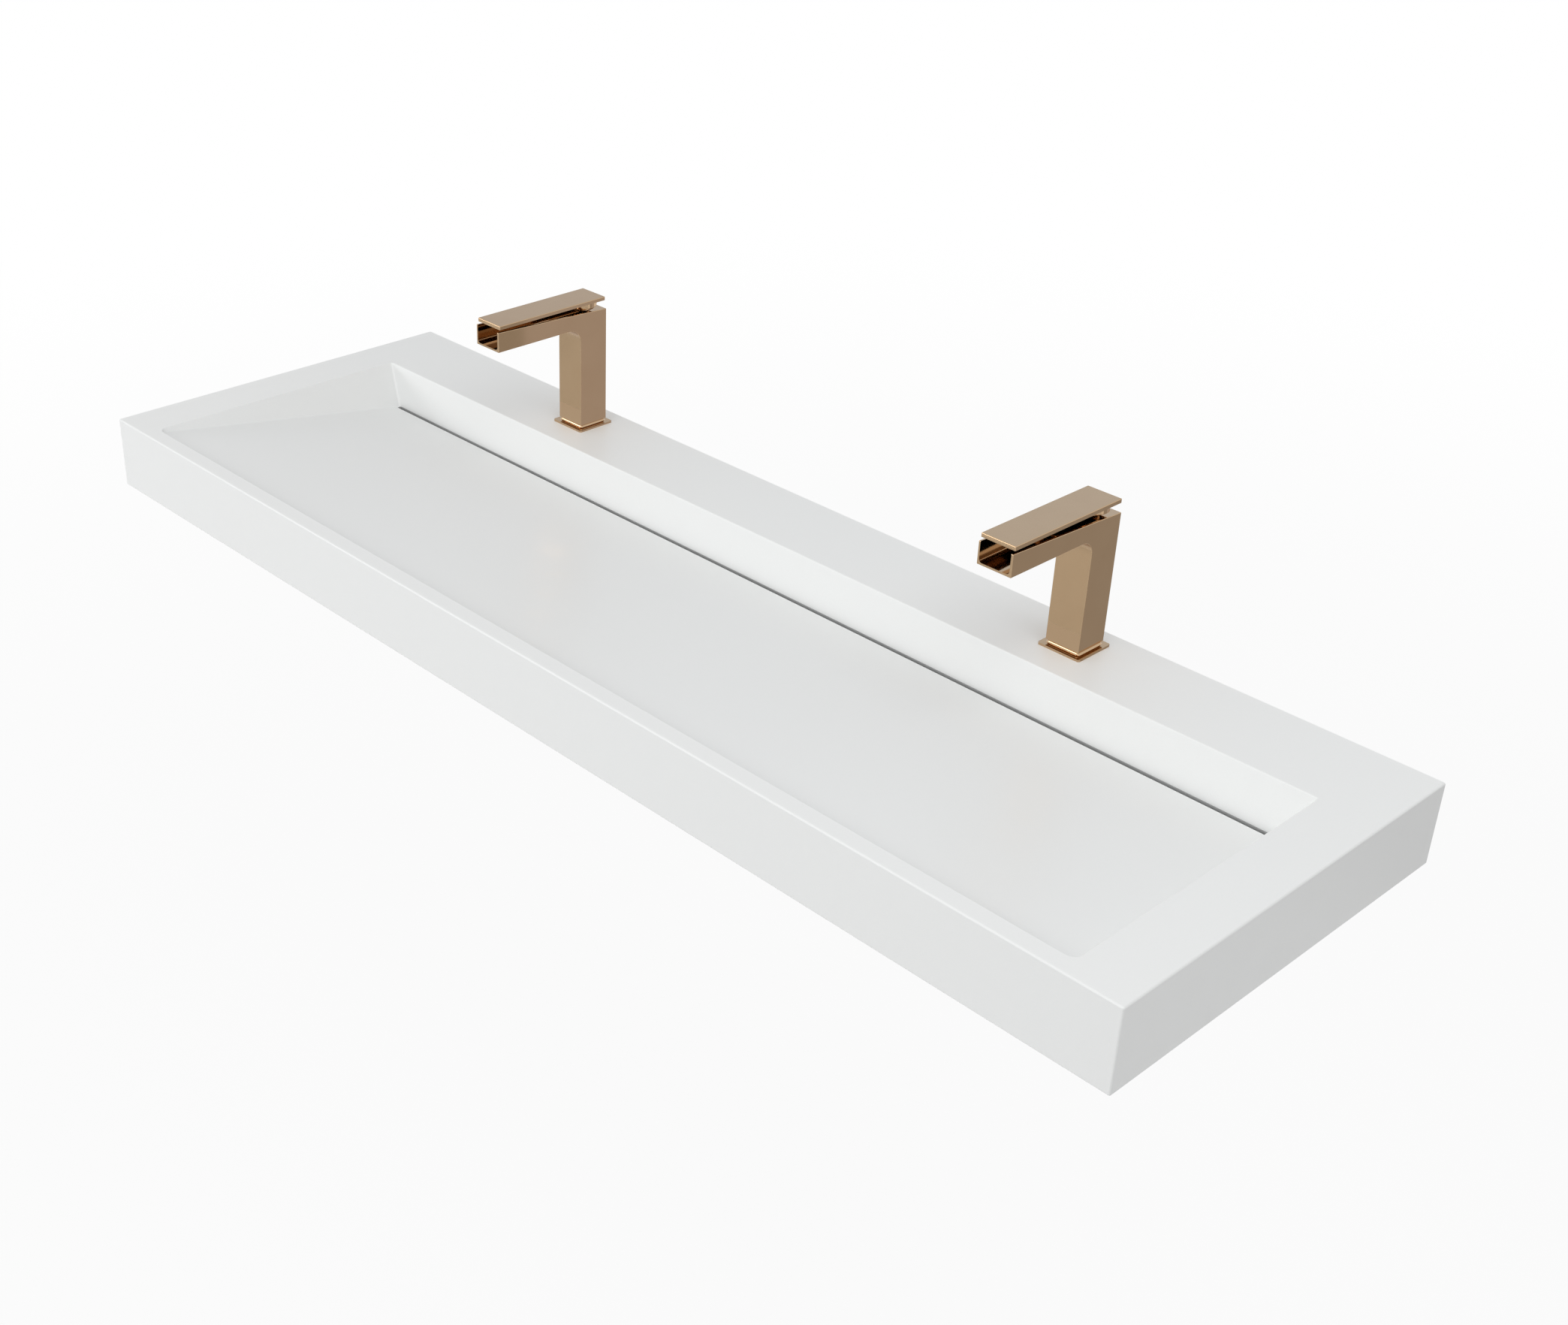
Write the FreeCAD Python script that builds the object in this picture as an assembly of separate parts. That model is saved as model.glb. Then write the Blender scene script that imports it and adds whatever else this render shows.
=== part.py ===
import FreeCAD, Part
import math
import os

# A wall-hung washbasin cast in solid surface, with a slot drain and two single-lever waterfall taps.
# Millimetres. X runs along the basin to the right, Y runs back into the wall and Z runs up.
# The origin lies on the wall, in the middle of the four wall screws.

V = FreeCAD.Vector
UP = V(0, 0, 1)
BACK = V(0, 1, 0)
RIGHT = V(1, 0, 0)
FULL_TURN = 360
TINY = 1e-6

# Basin shell
basin_length = 1524.0
basin_depth = 483.0
basin_height = 89.0
skin = 12.0
outer_round = 2.0

# Bowl: rims, a floor that falls to the back, and leaning walls
side_rim = 62.0
front_rim = 21.0
deck_depth = 110.0
bowl_depth = 52.0
front_step = 4.0
side_draft = 26.0
back_draft = 8.0
front_corner_round = 9.0
bowl_round = 3.0
rim_round = 1.2
slot_width = 6.0
slot_end_gap = 2.0

# Drain trough bonded under the slot
trough_wall = 5.0
trough_width = 30.0
trough_behind_slot = 4.0
trough_past_slot = 1.0
trough_end_depth = 5.0
trough_fall = 10.0
sump_r = 34.0
sump_seat_depth = 3.0
sump_seat_gap = 1.0

# Waste fitting
waste_flange_r = 30.0
waste_flange_thick = 2.5
waste_seal_thick = 2.0
waste_thread_r = 19.0
waste_hole_gap = 1.0
waste_bore_r = 14.0
waste_bar_width = 4.0
waste_bar_thick = 3.0
waste_thread_below = 21.0
waste_tail_r = 15.875
waste_tail_length = 77.0
waste_gasket_thick = 3.0
waste_washer_thick = 1.5
waste_nut_height = 10.0
waste_nut_flats = 50.0

# Wall brackets in the hollow end rims
bracket_plate_height = 70.0
bracket_plate_thick = 5.0
bracket_plate_margin = 25.0
bracket_plate_top_gap = 4.0
bracket_notch_gap = 3.0
fixing_from_end = 82.0
fixing_rows = 40.0
fixing_hole_r = 5.5
arm_width = 30.0
arm_height = 25.0
arm_wall = 2.5
arm_reach = 395.0
arm_side_gap = 4.0
gusset_reach = 75.0
gusset_thick = 6.0

# Screws that hold the basin down on the brackets
screw_r = 3.0
screw_hole_gap = 0.4
screw_head_r = 5.0
screw_head_height = 6.0
screw_from_end = 40.0
screw_from_wall = 100.0
washer_r = 8.0
washer_thick = 1.2
insert_r = 4.5
insert_depth = 9.0
insert_bore_depth = 8.0

# Taps: place, foot and column
tap_spacing = 762.0
tap_setback = 47.5
tap_hole_r = 17.5
foot_plate_size = 52.0
foot_plate_thick = 2.5
foot_plate_corner = 2.5
plinth_height = 4.0
plinth_inset = 1.6
plinth_cove = 2.6
foot_bore_r = 16.5
foot_seal_inner_r = 20.0
foot_seal_outer_r = 23.5
foot_seal_thick = 1.4
tap_width = 41.0
column_depth = 41.0
column_wall = 3.5
column_hollow_top = 88.0
column_hollow_round = 3.0
tap_edge_round = 0.6

# Taps: open spout
spout_reach = 147.0
spout_under = 132.5
spout_tip_top = 157.0
tap_back_top = 149.0
throat_round = 17.0
channel_wall = 2.2
channel_floor = 2.5
channel_round = 4.0

# Taps: water ways and clamp
inlet_r = 4.5
inlet_length = 12.0
inlet_side = 6.5
inlet_forward = 2.0
feed_r = 3.0
port_r = 1.8
port_side = 4.5
outlet_port_r = 2.5
outlet_forward = 6.5
waterway_r = 3.0
stud_r = 4.0
stud_back = 10.5
stud_grip = 20.0
stud_tail = 10.0
lug_half_width = 8.0
lug_margin = 3.5
clamp_r = 26.0
clamp_hole_gap = 0.2
clamp_mouth_half = 13.0
clamp_mouth_end = 3.5
clamp_mouth_round = 2.0
clamp_rubber_thick = 3.0
clamp_plate_thick = 3.0
clamp_nut_flats = 13.0
clamp_nut_height = 8.0

# Taps: cartridge
cartridge_r = 12.5
cartridge_bottom = 118.0
cartridge_base = 9.0
cartridge_top = 142.0
cartridge_bore_r = 10.4
cartridge_fit = 0.08
cartridge_nut_r = 13.4
cartridge_nut_top = 145.5
cartridge_nut_bore_r = 7.6
fixed_disc_thick = 4.0
moving_disc_r = 6.8
moving_disc_height = 6.75
disc_film = 0.05
rotor_flange_height = 3.3
rotor_clearance = 0.2
rotor_neck_r = 7.0
rotor_top = 149.5
rotor_slot_half = 5.5
pivot_height = 145.0
pin_r = 1.5
pin_fit = 0.05
stem_half = 3.0
stem_fit = 0.1
stem_neck_half = 1.4
stem_neck_height = 3.5
stem_tip_r = 2.2
stem_tip_drop = 9.5
disc_slot_depth = 4.75
disc_slot_side_gap = 0.3
bonnet_r = 10.0
bonnet_bore_r = 7.3
bonnet_flange_r = 12.5
bonnet_flange_thick = 1.0
bonnet_top = 151.0

# Taps: lever
lever_top = 164.5
lever_thick = 4.5
lever_front = 144.5
lever_back = 18.5
lever_edge_round = 0.8
boss_r = 17.5
boss_drop = 7.4
boss_gap = 0.4
boss_edge_round = 1.0
lever_lift = 20.0
lift_gap = 0.8
socket_depth = 1.2
socket_top_gap = 0.2
grub_r = 2.0
grub_height = 157.0
grub_length = 12.0
grub_cap_length = 2.0

# Heights and places that follow from the sizes above
rim = skin + bracket_plate_top_gap + bracket_plate_height / 2
basin_bottom = rim - basin_height
hollow_top = rim - skin
half_length = basin_length / 2
bowl_half = half_length - side_rim
bowl_front = front_rim - basin_depth
bowl_back = -deck_depth
side_lean = side_draft / bowl_depth
back_lean = back_draft / bowl_depth
slot_back = bowl_back - back_draft
slot_front = slot_back - slot_width
slot_half = bowl_half - side_draft - slot_end_gap
floor_fall = (bowl_depth - front_step) / (slot_front - bowl_front)
trough_ceiling = rim - bowl_depth - skin
sump_y = (slot_front + slot_back) / 2
sump_floor = trough_ceiling - trough_end_depth - trough_fall
sump_seat = sump_floor - sump_seat_depth
sump_under = sump_seat - trough_wall
arm_x = half_length - skin - arm_side_gap - arm_width / 2
arm_under = hollow_top - arm_height
fixing_x = half_length - fixing_from_end
plate_inner = fixing_x - bracket_plate_margin
plate_outer = arm_x + arm_width / 2
screw_places = [
    (side * arm_x, y) for side in (-1, 1) for y in (-screw_from_wall, screw_from_end - arm_reach)
]
tap_half = tap_width / 2
column_half = column_depth / 2
column_foot = foot_plate_thick + plinth_height
clamp_top = -skin
nut_top = clamp_top - clamp_rubber_thick - clamp_plate_thick
disc_seat = cartridge_bottom + cartridge_base
moving_disc_foot = disc_seat + fixed_disc_thick
moving_disc_top = moving_disc_foot + moving_disc_height
lever_under = lever_top - lever_thick
socket_top = lever_under + socket_depth
top_rise = (spout_tip_top - tap_back_top) / (spout_reach + column_half)
plateau = tap_back_top + top_rise * column_half


def box(x0, x1, y0, y1, z0, z1):
    """A block between two opposite corners."""
    return Part.makeBox(x1 - x0, y1 - y0, z1 - z0, V(x0, y0, z0))


def rod(r, x, y, z0, z1):
    """An upright cylinder."""
    return Part.makeCylinder(r, z1 - z0, V(x, y, z0))


def ring(outer, inner, x, y, z0, z1):
    """An upright tube."""
    return rod(outer, x, y, z0, z1).cut(rod(inner, x, y, z0, z1))


def hexagon(flats, x, y, z0, z1):
    """An upright hexagonal prism with two flats that face front and back."""
    corner = flats / math.sqrt(3)
    turns = [math.radians(FULL_TURN * i / 6) for i in range(7)]
    outline = Part.makePolygon([V(x + corner * math.cos(t), y + corner * math.sin(t), z0) for t in turns])
    return Part.Face(outline).extrude(UP * (z1 - z0))


def prism_along_x(outline, x0, x1):
    """A straight bar along X with an outline of (y, z) corners."""
    corners = [V(x0, y, z) for y, z in outline]
    return Part.Face(Part.makePolygon(corners + corners[:1])).extrude(RIGHT * (x1 - x0))


def prism_along_y(outline, y0, y1):
    """A straight bar along Y with an outline of (x, z) corners."""
    corners = [V(x, y0, z) for x, z in outline]
    return Part.Face(Part.makePolygon(corners + corners[:1])).extrude(BACK * (y1 - y0))


def upright_edges(shape):
    """The straight edges of a shape that stand upright."""
    return [e for e in shape.Edges if abs(e.tangentAt(e.FirstParameter).z) > 1 - TINY]


def rounded_box(half_x, y0, y1, z0, z1, r):
    """A block centred on X whose upright edges are rounded."""
    block = box(-half_x, half_x, y0, y1, z0, z1)
    return block.makeFillet(r, upright_edges(block))


def union(shapes):
    """One solid made of shapes that touch or overlap."""
    return shapes[0].multiFuse(shapes[1:]).removeSplitter()


def export(name, shape):
    """Writes one piece, named after its node."""
    shape.exportStep("parts/" + name + ".step")


# Basin body: an open-bottomed casting, the skin of which follows the bowl


def bowl(spread, top):
    """The bowl's hollow up to a height, with its walls and floor moved outwards by spread."""
    floor_drop = front_step + spread * math.hypot(1, floor_fall)
    back_y = bowl_back + spread * math.hypot(1, back_lean)
    front_y = bowl_front - spread
    foot_drop = (floor_drop + floor_fall * (back_y - bowl_front)) / (1 + floor_fall * back_lean)
    lengthwise = prism_along_x(
        [
            (front_y, top),
            (front_y, rim - floor_drop + floor_fall * spread),
            (back_y - back_lean * foot_drop, rim - foot_drop),
            (back_y + back_lean * (top - rim), top),
        ],
        -half_length,
        half_length,
    )
    rim_half = bowl_half + spread * math.hypot(1, side_lean)
    top_half = rim_half + side_lean * (top - rim)
    low_half = rim_half - side_lean * basin_height
    crosswise = prism_along_y(
        [(-top_half, top), (-low_half, basin_bottom), (low_half, basin_bottom), (top_half, top)],
        -basin_depth,
        0,
    )
    return lengthwise.common(crosswise)


def visible_bowl():
    """The bowl with its rounded front corners and the coves round its floor."""
    hollow = bowl(0, rim)
    front = [e for e in hollow.Edges if e.CenterOfMass.y < bowl_front + TINY and e.BoundBox.ZLength > TINY]
    hollow = hollow.makeFillet(front_corner_round, front)
    floor_edges = [e for e in hollow.Edges if e.BoundBox.ZMax < rim - TINY and e.CenterOfMass.y < slot_front]
    back_corners = [e for e in hollow.Edges if e.BoundBox.ZLength > TINY and e.CenterOfMass.y > slot_front]
    return hollow.makeFillet(bowl_round, floor_edges + back_corners)


def outer_block():
    """The basin's outside, rounded on every edge that doesn't meet the wall."""
    block = box(-half_length, half_length, -basin_depth, 0, basin_bottom, rim)
    return block.makeFillet(outer_round, [e for e in block.Edges if e.CenterOfMass.y < -outer_round])


def bowl_mouth(body):
    """The edges of the bowl's opening, which lie level with the rim and inside the basin's outline."""
    level = [e for e in body.Edges if e.BoundBox.ZMin > rim - TINY]
    inside = [e for e in level if abs(e.CenterOfMass.x) < bowl_half + rim_round]
    return [e for e in inside if bowl_front - rim_round < e.CenterOfMass.y < bowl_back + rim_round]


def basin_body():
    """The casting: bowl, slot, hollow underside, tap holes, bracket notches and insert pockets."""
    body = outer_block().cut(visible_bowl())
    body = body.makeFillet(rim_round, bowl_mouth(body))
    inner_half = half_length - skin
    hollow = box(-inner_half, inner_half, skin - basin_depth, -skin, basin_bottom, hollow_top)
    hollow = hollow.cut(bowl(skin, rim))
    slot = box(-slot_half, slot_half, slot_front, slot_back, basin_bottom, rim - front_step)
    taps = [rod(tap_hole_r, side * tap_spacing / 2, -tap_setback, hollow_top, rim) for side in (-1, 1)]
    notch_start = plate_inner - bracket_notch_gap
    notches = [
        box(*sorted((side * notch_start, side * inner_half)), -skin, 0, basin_bottom, hollow_top)
        for side in (-1, 1)
    ]
    pockets = [rod(insert_r, x, y, hollow_top, hollow_top + insert_depth) for x, y in screw_places]
    return body.cut([hollow, slot] + taps + notches + pockets)


# Drain trough: a shallow channel that falls from both ends to a round sump


def trough_run(spread, top):
    """The channel's long bar, with its walls and floor moved outwards by spread."""
    end = slot_half + trough_past_slot + spread
    back = slot_back + trough_behind_slot + spread
    front = slot_back + trough_behind_slot - trough_width - spread
    end_floor = trough_ceiling - trough_end_depth - spread
    outline = [
        (-end, top),
        (-end, end_floor),
        (-sump_r, end_floor - trough_fall),
        (sump_r, end_floor - trough_fall),
        (end, end_floor),
        (end, top),
    ]
    return prism_along_y(outline, front, back)


def drain_trough():
    """The channel with its sump, cut to lie on the underside of the bowl."""
    bond = trough_ceiling + trough_wall
    pot = rod(sump_r + trough_wall, 0, sump_y, sump_under, bond)
    outside = union([trough_run(trough_wall, bond), pot])
    room = trough_run(0, trough_ceiling)
    sump = rod(sump_r, 0, sump_y, sump_floor, trough_ceiling)
    seat = rod(waste_flange_r + sump_seat_gap, 0, sump_y, sump_seat, sump_floor)
    hole = rod(waste_thread_r + waste_hole_gap, 0, sump_y, sump_under, sump_seat)
    return outside.cut([bowl(skin, rim), room, sump, seat, hole])


# Waste fitting: a flanged outlet drawn down by a nut


def waste_pieces():
    """The outlet with its cross bars, its two seals, its washer and its nut."""
    flange_foot = sump_seat + waste_seal_thick
    flange_top = flange_foot + waste_flange_thick
    gasket_foot = sump_under - waste_gasket_thick
    washer_foot = gasket_foot - waste_washer_thick
    nut_foot = washer_foot - waste_nut_height
    thread_foot = sump_under - waste_thread_below
    tail_foot = thread_foot - waste_tail_length
    outside = union(
        [
            rod(waste_flange_r, 0, sump_y, flange_foot, flange_top),
            rod(waste_thread_r, 0, sump_y, thread_foot, flange_foot),
            rod(waste_tail_r, 0, sump_y, tail_foot, thread_foot),
        ]
    )
    bore = rod(waste_bore_r, 0, sump_y, tail_foot, flange_top)
    half_bar = waste_bar_width / 2
    bar_foot = flange_top - waste_bar_thick
    bars = [
        box(-waste_bore_r, waste_bore_r, sump_y - half_bar, sump_y + half_bar, bar_foot, flange_top),
        box(-half_bar, half_bar, sump_y - waste_bore_r, sump_y + waste_bore_r, bar_foot, flange_top),
    ]
    nut = hexagon(waste_nut_flats, 0, sump_y, nut_foot, washer_foot)
    return {
        "waste_outlet": union([outside.cut(bore)] + bars),
        "waste_seal": ring(waste_flange_r, waste_thread_r, 0, sump_y, sump_seat, flange_foot),
        "waste_gasket": ring(waste_flange_r, waste_thread_r, 0, sump_y, gasket_foot, sump_under),
        "waste_washer": ring(waste_flange_r, waste_thread_r, 0, sump_y, washer_foot, gasket_foot),
        "waste_nut": nut.cut(rod(waste_thread_r, 0, sump_y, nut_foot, washer_foot)),
    }


# Wall brackets: a screwed wall plate, a square tube arm and a gusset, welded


def wall_bracket(side):
    """The bracket of one end, side -1 on the left and 1 on the right."""
    half_plate = bracket_plate_height / 2
    half_arm = arm_width / 2
    x = side * arm_x
    plate_ends = sorted((side * plate_inner, side * plate_outer))
    plate = box(*plate_ends, -bracket_plate_thick, 0, -half_plate, half_plate)
    arm = box(x - half_arm, x + half_arm, -arm_reach, -bracket_plate_thick, arm_under, hollow_top)
    inside = box(
        x - half_arm + arm_wall,
        x + half_arm - arm_wall,
        -arm_reach,
        -bracket_plate_thick,
        arm_under + arm_wall,
        hollow_top - arm_wall,
    )
    gusset = prism_along_x(
        [
            (-bracket_plate_thick, arm_under),
            (-bracket_plate_thick - gusset_reach, arm_under),
            (-bracket_plate_thick, -half_plate),
        ],
        x - gusset_thick / 2,
        x + gusset_thick / 2,
    )
    fixing_starts = [V(side * fixing_x, -bracket_plate_thick, row * fixing_rows / 2) for row in (-1, 1)]
    fixings = [Part.makeCylinder(fixing_hole_r, bracket_plate_thick, start, BACK) for start in fixing_starts]
    holes = [
        rod(screw_r + screw_hole_gap, hole_x, hole_y, arm_under, hollow_top)
        for hole_x, hole_y in screw_places
        if hole_x * side > 0
    ]
    return union([plate, arm.cut(inside), gusset]).cut(fixings + holes)


def bracket_screws():
    """Screws up through both walls of the arms into the rim, heads below."""
    head_top = arm_under - washer_thick
    tip = hollow_top + insert_bore_depth
    heads = [rod(screw_head_r, x, y, head_top - screw_head_height, head_top) for x, y in screw_places]
    shanks = [rod(screw_r, x, y, head_top, tip) for x, y in screw_places]
    return [union([head, shank]) for head, shank in zip(heads, shanks)]


def bracket_washers():
    """Washers between the screw heads and the arms."""
    return [ring(washer_r, screw_r, x, y, arm_under - washer_thick, arm_under) for x, y in screw_places]


def bracket_inserts():
    """Blind threaded inserts cast into the underside of the end rims."""
    return [
        rod(insert_r, x, y, hollow_top, hollow_top + insert_depth).cut(
            rod(screw_r, x, y, hollow_top, hollow_top + insert_bore_depth)
        )
        for x, y in screw_places
    ]


# Tap foot and clamp, drawn about the tap's own axis with the deck at height 0


def foot_plate():
    """A square plate with a coved plinth, a bore for the hoses and a groove for its seal."""
    half = foot_plate_size / 2
    plate = rounded_box(half, -half, half, 0, foot_plate_thick, foot_plate_corner)
    plinth_half = tap_half - plinth_inset
    plinth_back = column_half - plinth_inset
    plinth = rounded_box(plinth_half, -plinth_back, plinth_back, foot_plate_thick, column_foot, plinth_inset)
    foot = plate.fuse(plinth)
    cove = [
        e
        for e in foot.Edges
        if abs(e.BoundBox.ZMin - foot_plate_thick) + abs(e.BoundBox.ZMax - foot_plate_thick) < TINY
        and abs(e.CenterOfMass.x) < plinth_half + TINY
        and abs(e.CenterOfMass.y) < plinth_back + TINY
    ]
    foot = foot.makeFillet(plinth_cove, cove)
    bore = rod(foot_bore_r, 0, 0, 0, column_foot)
    groove = ring(foot_seal_outer_r, foot_seal_inner_r, 0, 0, 0, foot_seal_thick)
    return foot.cut([bore, groove])


def clamp_shape(thick, top):
    """A round plate with a mouth for the hoses, open to the front, and a hole for the stud."""
    disc = rod(clamp_r, 0, 0, top - thick, top)
    mouth = rounded_box(
        clamp_mouth_half, -clamp_r - clamp_mouth_round, clamp_mouth_end, top - thick, top, clamp_mouth_round
    )
    return disc.cut([mouth, rod(stud_r + clamp_hole_gap, 0, stud_back, top - thick, top)])


def clamp_pieces():
    """Foot plate, seal, stud, rubber, horseshoe plate and nut, which hold a tap down on the deck."""
    nut_foot = nut_top - clamp_nut_height
    nut = hexagon(clamp_nut_flats, 0, stud_back, nut_foot, nut_top)
    return {
        "foot_plate": foot_plate(),
        "foot_seal": ring(foot_seal_outer_r, foot_seal_inner_r, 0, 0, 0, foot_seal_thick),
        "stud": rod(stud_r, 0, stud_back, nut_foot - stud_tail, column_foot + stud_grip),
        "clamp_rubber": clamp_shape(clamp_rubber_thick, clamp_top),
        "clamp_plate": clamp_shape(clamp_plate_thick, clamp_top - clamp_rubber_thick),
        "clamp_nut": nut.cut(rod(stud_r, 0, stud_back, nut_foot, nut_top)),
    }


# Tap body: one casting of a hollow column and an open spout


def body_outline():
    """The side view: upright column, throat arc, level underside and a top edge that rises to the tip."""
    throat_y = -column_half - throat_round
    throat_z = spout_under - throat_round
    slant = throat_round * math.sqrt(0.5)
    corners = {
        "foot_back": V(-tap_half, column_half, column_foot),
        "top_back": V(-tap_half, column_half, tap_back_top),
        "top_tip": V(-tap_half, -spout_reach, spout_tip_top),
        "under_tip": V(-tap_half, -spout_reach, spout_under),
        "throat_front": V(-tap_half, throat_y, spout_under),
        "throat_foot": V(-tap_half, -column_half, throat_z),
        "foot_front": V(-tap_half, -column_half, column_foot),
    }
    bend = V(-tap_half, throat_y + slant, throat_z + slant)
    run = list(corners.values())
    throat = Part.Arc(corners["throat_front"], bend, corners["throat_foot"]).toShape()
    straight = [Part.makeLine(a, b) for a, b in zip(run, run[1:] + run[:1]) if a != corners["throat_front"]]
    return Part.Face(Part.Wire(Part.__sortEdges__(straight + [throat])))


def body_block():
    """The casting's outside with its edges broken."""
    block = body_outline().extrude(RIGHT * tap_width)
    sides = [
        e
        for e in block.Edges
        if abs(abs(e.CenterOfMass.x) - tap_half) < TINY and e.BoundBox.ZMax > column_foot + TINY
    ]
    across = [
        e
        for e in block.Edges
        if abs(e.CenterOfMass.x) < TINY
        and (e.CenterOfMass.z > tap_back_top - TINY or e.CenterOfMass.y < TINY - spout_reach)
    ]
    return block.makeFillet(tap_edge_round, sides + across)


def channel():
    """The spout's water channel, rounded along both bottom corners and open at the top and the tip."""
    half = tap_half - channel_wall
    back = -cartridge_nut_r - channel_wall
    trough = box(-half, half, -spout_reach, back, spout_under + channel_floor, spout_tip_top)
    low = [
        e
        for e in trough.Edges
        if e.BoundBox.YLength > channel_round and e.BoundBox.ZMax < spout_under + channel_floor + TINY
    ]
    return trough.makeFillet(channel_round, low)


def waterway():
    """The slanting bore that leads the mixed water from the cartridge up to the channel."""
    start = V(0, -outlet_forward, cartridge_bottom + outlet_port_r)
    end = V(0, -column_half - waterway_r, spout_under + channel_floor + waterway_r)
    return Part.makeCylinder(waterway_r, start.distanceToPoint(end), start, end - start)


def tap_body():
    """The casting with its channel, cartridge well, hollow column, stud lug and water ways."""
    well = rod(cartridge_r, 0, 0, cartridge_bottom, cartridge_top)
    nut_well = rod(cartridge_nut_r, 0, 0, cartridge_top, spout_tip_top)
    inner_half = tap_half - column_wall
    inner_back = column_half - column_wall
    lug_top = column_foot + stud_grip + lug_margin
    lug = box(
        -lug_half_width, lug_half_width, stud_back - stud_r - lug_margin, inner_back, column_foot, lug_top
    )
    hollow = rounded_box(
        inner_half, -inner_back, inner_back, column_foot, column_hollow_top, column_hollow_round
    ).cut(lug)
    thread = rod(stud_r, 0, stud_back, column_foot, column_foot + stud_grip)
    inlet_top = column_hollow_top + inlet_length
    inlet_places = [(side * inlet_side, -inlet_forward) for side in (-1, 1)]
    inlets = [rod(inlet_r, x, y, column_hollow_top, inlet_top) for x, y in inlet_places]
    feeds = [rod(feed_r, x, y, inlet_top, cartridge_bottom) for x, y in inlet_places]
    return body_block().cut([channel(), well, nut_well, hollow, thread, waterway()] + inlets + feeds)


# Tap cartridge: a ceramic disc valve worked by a tilting and turning stem


def disc_ports(z0, z1):
    """The hot, cold and mixed water ports, upright through the base of the valve."""
    inlets = [rod(port_r, side * port_side, -inlet_forward, z0, z1) for side in (-1, 1)]
    return inlets + [rod(outlet_port_r, 0, -outlet_forward, z0 + outlet_port_r, z1)]


def cartridge_pieces():
    """Housing, fixed disc and nut, which stay still in the tap body."""
    housing = rod(cartridge_r, 0, 0, cartridge_bottom, cartridge_top)
    room = rod(cartridge_bore_r, 0, 0, disc_seat, cartridge_top)
    disc = rod(cartridge_bore_r, 0, 0, disc_seat, moving_disc_foot - disc_film)
    profile = [
        V(bonnet_bore_r, 0, cartridge_nut_top),
        V(bonnet_flange_r, 0, cartridge_nut_top),
        V(bonnet_flange_r, 0, cartridge_nut_top + bonnet_flange_thick),
        dome_point(cartridge_nut_top + bonnet_flange_thick),
        dome_point(bonnet_top),
        V(bonnet_bore_r, 0, bonnet_top),
    ]
    middle = dome_point((cartridge_nut_top + bonnet_flange_thick + bonnet_top) / 2)
    dome = Part.Arc(profile[3], middle, profile[4]).toShape()
    lines = [Part.makeLine(a, b) for a, b in zip(profile, profile[1:] + profile[:1]) if a != profile[3]]
    outline = Part.Face(Part.Wire(Part.__sortEdges__(lines + [dome])))
    return {
        "cartridge_housing": housing.cut([room, waterway()] + disc_ports(cartridge_bottom, disc_seat)),
        "fixed_disc": disc.cut(disc_ports(disc_seat - outlet_port_r, moving_disc_foot)),
        "cartridge_nut": ring(cartridge_nut_r, cartridge_nut_bore_r, 0, 0, cartridge_top, cartridge_nut_top),
        "bonnet": outline.revolve(V(0, 0, 0), UP, FULL_TURN),
    }


def dome_point(z):
    """A point on the bonnet's dome, which is centred on the lever's pivot."""
    return V(math.sqrt(bonnet_r**2 - (z - pivot_height) ** 2), 0, z)


def bar_along_x(r, half, z):
    """A round bar across the tap's axis."""
    return Part.makeCylinder(r, 2 * half, V(-half, 0, z), RIGHT)


def rotor_pieces():
    """The rotor that turns with the lever and the pin that the stem tilts on."""
    flange_top = cartridge_top - rotor_clearance
    flange = rod(cartridge_bore_r - cartridge_fit, 0, 0, flange_top - rotor_flange_height, flange_top)
    neck = rod(rotor_neck_r, 0, 0, flange_top, rotor_top)
    side = stem_half + stem_fit
    slot = box(-side, side, -rotor_slot_half, rotor_slot_half, flange_top - rotor_flange_height, rotor_top)
    pin_half = math.sqrt(rotor_neck_r**2 - pin_r**2)
    pin = bar_along_x(pin_r, pin_half, pivot_height)
    return {
        "rotor": union([flange, neck]).cut([slot, pin]),
        "stem_pin": pin,
    }


def moving_disc():
    """The disc that slides over the ports, with a slot for the stem's tip."""
    disc = rod(moving_disc_r, 0, 0, moving_disc_foot, moving_disc_top)
    side = stem_half + disc_slot_side_gap
    half_slot = stem_tip_r + stem_fit
    slot_foot = moving_disc_top - disc_slot_depth
    return disc.cut(box(-side, side, -half_slot, half_slot, slot_foot, moving_disc_top))


# Tap lever: a flat blade on a boss that rides over the bonnet


def lever_stem():
    """A square stem with a pin hole, a narrow neck and a rounded tip."""
    tip_height = pivot_height - stem_tip_drop
    neck_top = tip_height + stem_neck_height
    shank = box(-stem_half, stem_half, -stem_half, stem_half, neck_top, socket_top - socket_top_gap)
    neck = box(-stem_half, stem_half, -stem_neck_half, stem_neck_half, tip_height, neck_top)
    tip = bar_along_x(stem_tip_r, stem_half, tip_height)
    return union([shank, neck, tip]).cut(bar_along_x(pin_r + pin_fit, stem_half, pivot_height))


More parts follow.
